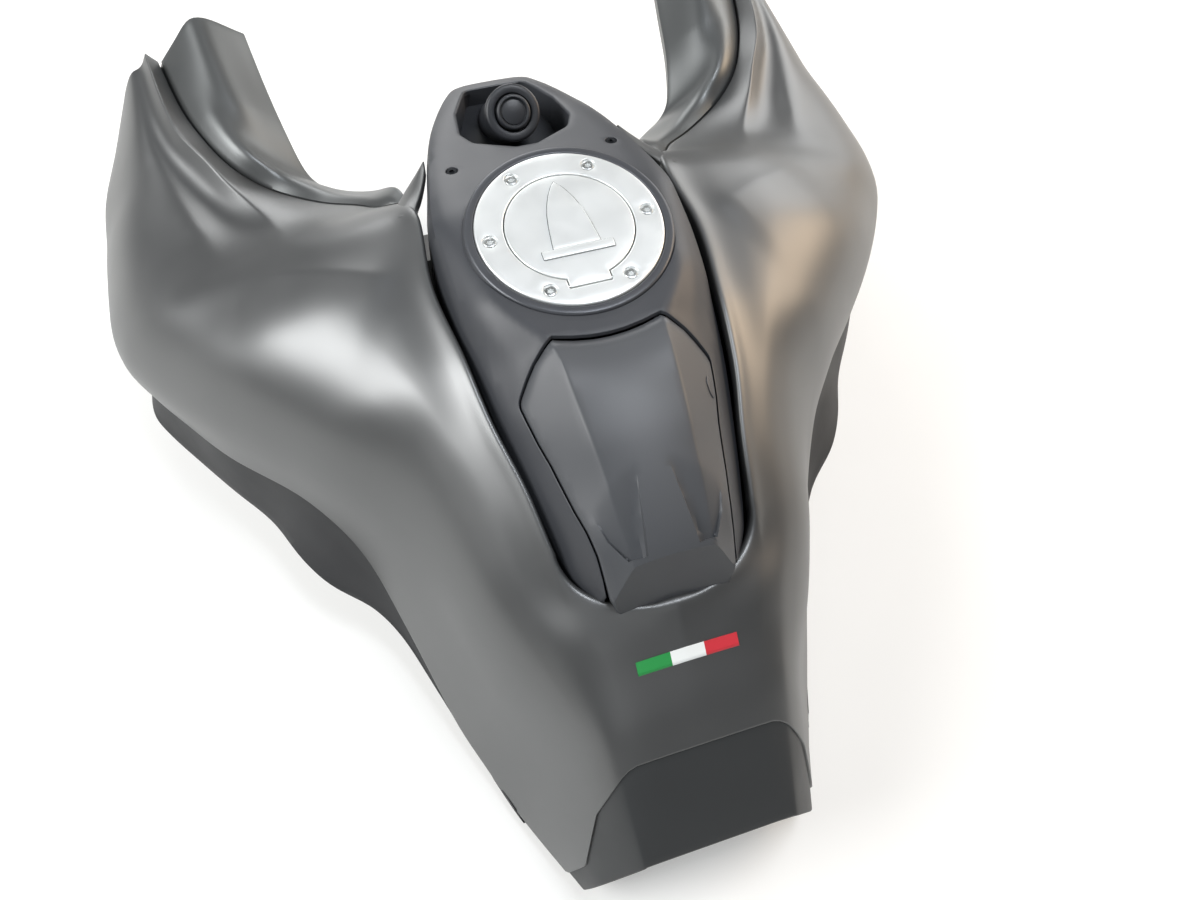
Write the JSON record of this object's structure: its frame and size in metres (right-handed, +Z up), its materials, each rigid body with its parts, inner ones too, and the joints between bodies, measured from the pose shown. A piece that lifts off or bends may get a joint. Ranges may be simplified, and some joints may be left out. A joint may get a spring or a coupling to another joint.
{
  "type": "motorcycle fuel tank unit",
  "caption": "Fuel tank unit of a touring motorcycle: wide painted cover over the vessel, dark spine with a hinged filler cap and a storage box under a hinged lid, on bushed ears.",
  "frame": {"origin": "middle of the rear mounting bolt, which is also where the unit is held", "axes": "+X forwards, +Y to the rider's left, +Z up"},
  "size_m": [0.741, 0.73, 0.3333],
  "materials": {
    "cover_paint": "satin matt paint",
    "panel_plastic": "fine grained",
    "lid_plastic": "fine grained",
    "trim_plastic": "fine grained",
    "side_plastic": "grained",
    "rear_plastic": "satin matt",
    "cap_aluminium": "bead blasted",
    "bezel_plastic": "satin",
    "neck_steel": "plain",
    "plug_rubber": "matt",
    "pin_steel": "turned",
    "tray_plastic": "moulded",
    "switch_plastic": "satin",
    "vessel_plastic": "moulded",
    "bracket_steel": "powder coat",
    "bush_rubber": "matt",
    "pump_plastic": "moulded",
    "pump_ring_metal": "cast",
    "stripe_film": "gloss film"
  },
  "bodies": {
    "tank_unit": {"tank_vessel": "vessel_plastic", "tank_cover": "cover_paint", "front_trim_left": "trim_plastic", "front_trim_right": "trim_plastic", "side_trim_left": "side_plastic", "side_trim_right": "side_plastic", "spine_panel": "panel_plastic", "storage_tray": "tray_plastic", "rear_cover": "rear_plastic", "filler_neck": "neck_steel", "filler_bezel": "bezel_plastic", "cap_ring": "cap_aluminium", "flap_pin": "pin_steel", "lid_pins": "pin_steel", "switch_housing": "switch_plastic", "switch_ring": "switch_plastic", "switch_knob": "switch_plastic", "pump_flange": "pump_plastic", "pump_ring": "pump_ring_metal", "fuel_outlet": "pump_plastic", "pump_connector": "pump_plastic", "drain_pipes": "vessel_plastic", "rear_bracket": "bracket_steel", "rear_bush": "bush_rubber", "rear_sleeve": "pin_steel", "front_bracket_left": "bracket_steel", "front_bracket_right": "bracket_steel", "front_bush_left": "bush_rubber", "front_bush_right": "bush_rubber", "front_sleeve_left": "pin_steel", "front_sleeve_right": "pin_steel", "tank_stripe": "stripe_film"},
    "cap_flap": {"filler_flap": "cap_aluminium", "key_cover": "cap_aluminium", "filler_plug": "plug_rubber"},
    "box_lid": {"storage_lid": "lid_plastic", "lid_arms": "tray_plastic", "lid_latch": "tray_plastic", "lid_button": "lid_plastic"}
  },
  "joints": [
    {"name": "flap_hinge", "type": "hinge", "parent": "tank_unit", "child": "cap_flap", "pos_m": [0.3152, 0, 0.2591], "axis": [0, -1, 0], "range_deg": [0, 95]},
    {"name": "lid_hinge", "type": "hinge", "parent": "tank_unit", "child": "box_lid", "pos_m": [0.292, 0, 0.251], "axis": [0, 1, 0], "range_deg": [0, 75]}
  ]
}
